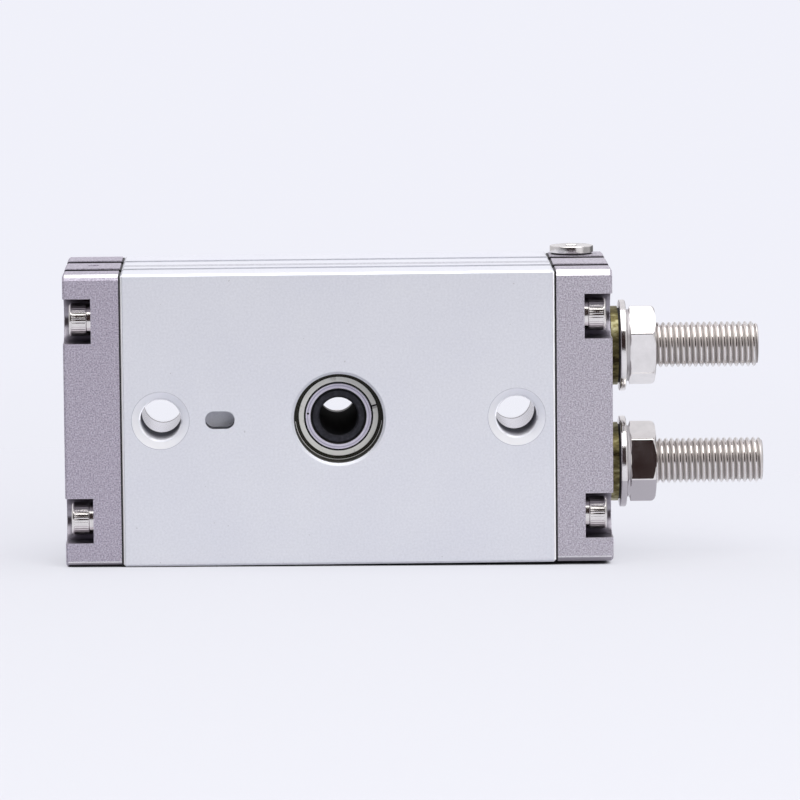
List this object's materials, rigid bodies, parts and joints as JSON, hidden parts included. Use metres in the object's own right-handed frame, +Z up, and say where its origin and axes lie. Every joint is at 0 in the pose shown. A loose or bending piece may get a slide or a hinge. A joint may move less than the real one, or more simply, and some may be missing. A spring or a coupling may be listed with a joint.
{
  "type": "pneumatic rotary actuator",
  "caption": "Compact rack-and-pinion rotary table: block housing with screwed end covers, hollow shaft, table at the back and adjusting bolts with lock nuts.",
  "frame": {"origin": "on the shaft axis, in the plane of the mounting face", "axes": "+X along the housing towards the adjusting bolts, +Y from the mounting face to the rotary table, +Z up along the housing's height"},
  "size_m": [0.1188, 0.047, 0.0524],
  "materials": {
    "anodised": "clear anodised, fine machined grain",
    "cover_cast": "sand textured die casting",
    "gasket_rubber": "black rubber",
    "screw_steel": "bright plated",
    "bright_nickel": "bright nickel plated",
    "pad_rubber": "polyurethane rubber",
    "olive_zinc": "olive zinc chromate",
    "bearing_steel": "ground bearing steel",
    "snap_ring_steel": "rolled steel",
    "cage_plastic": "moulded nylon",
    "black_oxide": "black oxide on steel",
    "rack_steel": "ground steel",
    "seal_rubber": "nitrile rubber",
    "wear_plastic": "filled resin",
    "magnet_black": "plastic bonded magnet",
    "table_aluminium": "anodised, turned"
  },
  "bodies": {
    "housing": {"body": "anodised", "end_cover_left": "cover_cast", "end_cover_right": "cover_cast", "gasket_left": "gasket_rubber", "gasket_right": "gasket_rubber", "cover_screws_left": "screw_steel", "cover_screws_right": "screw_steel", "spring_washers_left": "screw_steel", "spring_washers_right": "screw_steel", "adjusting_bolt_upper": "bright_nickel", "adjusting_bolt_lower": "bright_nickel", "cushion_pad_upper": "pad_rubber", "cushion_pad_lower": "pad_rubber", "lock_nut_upper": "bright_nickel", "lock_nut_lower": "bright_nickel", "seal_washer_upper": "olive_zinc", "seal_washer_lower": "olive_zinc", "seal_ring_upper": "gasket_rubber", "seal_ring_lower": "gasket_rubber", "port_plug_top": "bright_nickel", "port_plug_bottom": "bright_nickel", "plug_gaskets": "gasket_rubber", "passage_balls": "bearing_steel", "front_bearing_outer": "bearing_steel", "front_bearing_shield": "bearing_steel", "front_bearing_snap_ring": "snap_ring_steel", "rear_bearing_outer": "bearing_steel", "bearing_retainer": "table_aluminium", "retainer_screws": "screw_steel"},
    "table": {"rotary_table": "table_aluminium", "pinion_shaft": "black_oxide", "table_screws": "screw_steel", "table_pin": "bearing_steel", "front_bearing_inner": "bearing_steel", "rear_bearing_inner": "bearing_steel"},
    "rack_upper": {"rack_piston_upper": "rack_steel", "piston_seals_upper": "seal_rubber", "wear_rings_upper": "wear_plastic", "piston_magnet_upper": "magnet_black"},
    "rack_lower": {"rack_piston_lower": "rack_steel", "piston_seals_lower": "seal_rubber", "wear_rings_lower": "wear_plastic", "piston_magnet_lower": "magnet_black"},
    "front_ball_set": {"front_bearing_balls": "bearing_steel"},
    "rear_ball_set": {"rear_bearing_balls": "bearing_steel", "rear_bearing_cage": "cage_plastic"}
  },
  "joints": [
    {"name": "table_spin", "type": "hinge", "parent": "housing", "child": "table", "pos_m": [0, 0, 0], "axis": [0, 1, 0], "range_deg": [-98.8, 91.2]},
    {"name": "rack_upper_slide", "type": "slide", "parent": "housing", "child": "rack_upper", "axis": [1, 0, 0], "range_m": [-0.00971, 0.00896]},
    {"name": "rack_lower_slide", "type": "slide", "parent": "housing", "child": "rack_lower", "axis": [1, 0, 0], "range_m": [-0.00896, 0.00971]},
    {"name": "front_balls_spin", "type": "hinge", "parent": "housing", "child": "front_ball_set", "pos_m": [0, 0, 0], "axis": [0, 1, 0], "range_deg": [-44.1, 40.7]},
    {"name": "rear_balls_spin", "type": "hinge", "parent": "housing", "child": "rear_ball_set", "pos_m": [0, 0, 0], "axis": [0, 1, 0], "range_deg": [-43.8, 40.4]}
  ],
  "couplings": [
    {"joint": "rack_upper_slide", "follows": "table_spin", "m_per_rad": 0.005625},
    {"joint": "rack_lower_slide", "follows": "table_spin", "m_per_rad": -0.005625},
    {"joint": "front_balls_spin", "follows": "table_spin", "ratio": 0.4451},
    {"joint": "rear_balls_spin", "follows": "table_spin", "ratio": 0.4419}
  ]
}
